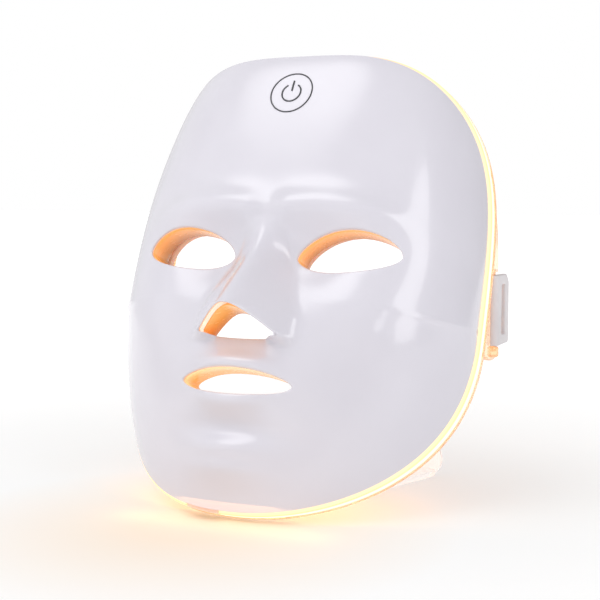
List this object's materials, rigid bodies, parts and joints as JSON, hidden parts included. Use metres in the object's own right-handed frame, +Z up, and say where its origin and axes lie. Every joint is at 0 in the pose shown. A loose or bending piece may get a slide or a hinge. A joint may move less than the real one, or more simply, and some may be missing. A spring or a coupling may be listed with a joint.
{
  "type": "led face mask",
  "caption": "Rigid light therapy face mask with a glossy white front shell, a clear inner shell, a glowing rim, hinged strap buckles and a clear foot that keeps it leaning back.",
  "frame": {"origin": "middle of the footprint on the surface it stands on, under the centre of the whole part", "axes": "+Z up, the face looks along -Y, +X is the wearer's left; the part is symmetric about X = 0 apart from the charging port and the foot screws"},
  "size_m": [0.1818, 0.1304, 0.204],
  "materials": {
    "shell_white": "glossy injection-moulded white with a cool tint",
    "clear_plastic": "clear polished polycarbonate, lit warm by the lamps",
    "glow_guide": "translucent light guide, lit",
    "board_white": "white solder mask on a flexible board with lamp packages",
    "board_green": "green solder mask with black chips",
    "cell_foil": "satin foil pouch",
    "sensor_film": "amber film with a printed pad",
    "mark_grey": "dark grey pad print",
    "silicone": "soft matt translucent silicone",
    "ribbon_amber": "amber polyimide ribbon",
    "socket_metal": "drawn nickel-plated shell",
    "port_plastic": "satin translucent white",
    "screw_steel": "small cross-head screw",
    "buckle_plastic": "satin moulded light grey with a fine grain"
  },
  "bodies": {
    "mask": {"front_shell": "shell_white", "inner_shell": "clear_plastic", "glow_rim": "glow_guide", "port_bezel": "port_plastic", "charging_socket": "socket_metal", "light_board_forehead": "board_white", "light_board_nose": "board_white", "light_board_lip": "board_white", "light_board_chin": "board_white", "light_board_cheek_left": "board_white", "light_board_cheek_right": "board_white", "light_board_jaw_left": "board_white", "light_board_jaw_right": "board_white", "ribbon_side_left": "ribbon_amber", "ribbon_side_right": "ribbon_amber", "ribbon_jaw_left": "ribbon_amber", "ribbon_jaw_right": "ribbon_amber", "ribbon_nose": "ribbon_amber", "ribbon_chin": "ribbon_amber", "battery": "cell_foil", "battery_pad": "silicone", "touch_sensor": "sensor_film", "control_board": "board_green", "touch_mark_ring": "mark_grey", "touch_mark_arc": "mark_grey", "touch_mark_bar": "mark_grey", "eye_guard_left": "silicone", "eye_guard_right": "silicone", "screw_1": "screw_steel", "screw_2": "screw_steel", "screw_3": "screw_steel", "screw_4": "screw_steel", "screw_5": "screw_steel", "screw_6": "screw_steel", "chin_foot": "clear_plastic", "foot_screw_1": "screw_steel", "foot_screw_2": "screw_steel"},
    "buckle_left": {"buckle_left": "buckle_plastic"},
    "buckle_right": {"buckle_right": "buckle_plastic"}
  },
  "joints": [
    {"name": "buckle_left_hinge", "type": "hinge", "parent": "mask", "child": "buckle_left", "pos_m": [0.0873, 0.0336, 0.08651], "axis": [0, 0, 1], "range_deg": [-90, 90]},
    {"name": "buckle_right_hinge", "type": "hinge", "parent": "mask", "child": "buckle_right", "pos_m": [-0.0873, 0.0336, 0.08651], "axis": [0, 0, -1], "range_deg": [-90, 90]}
  ]
}
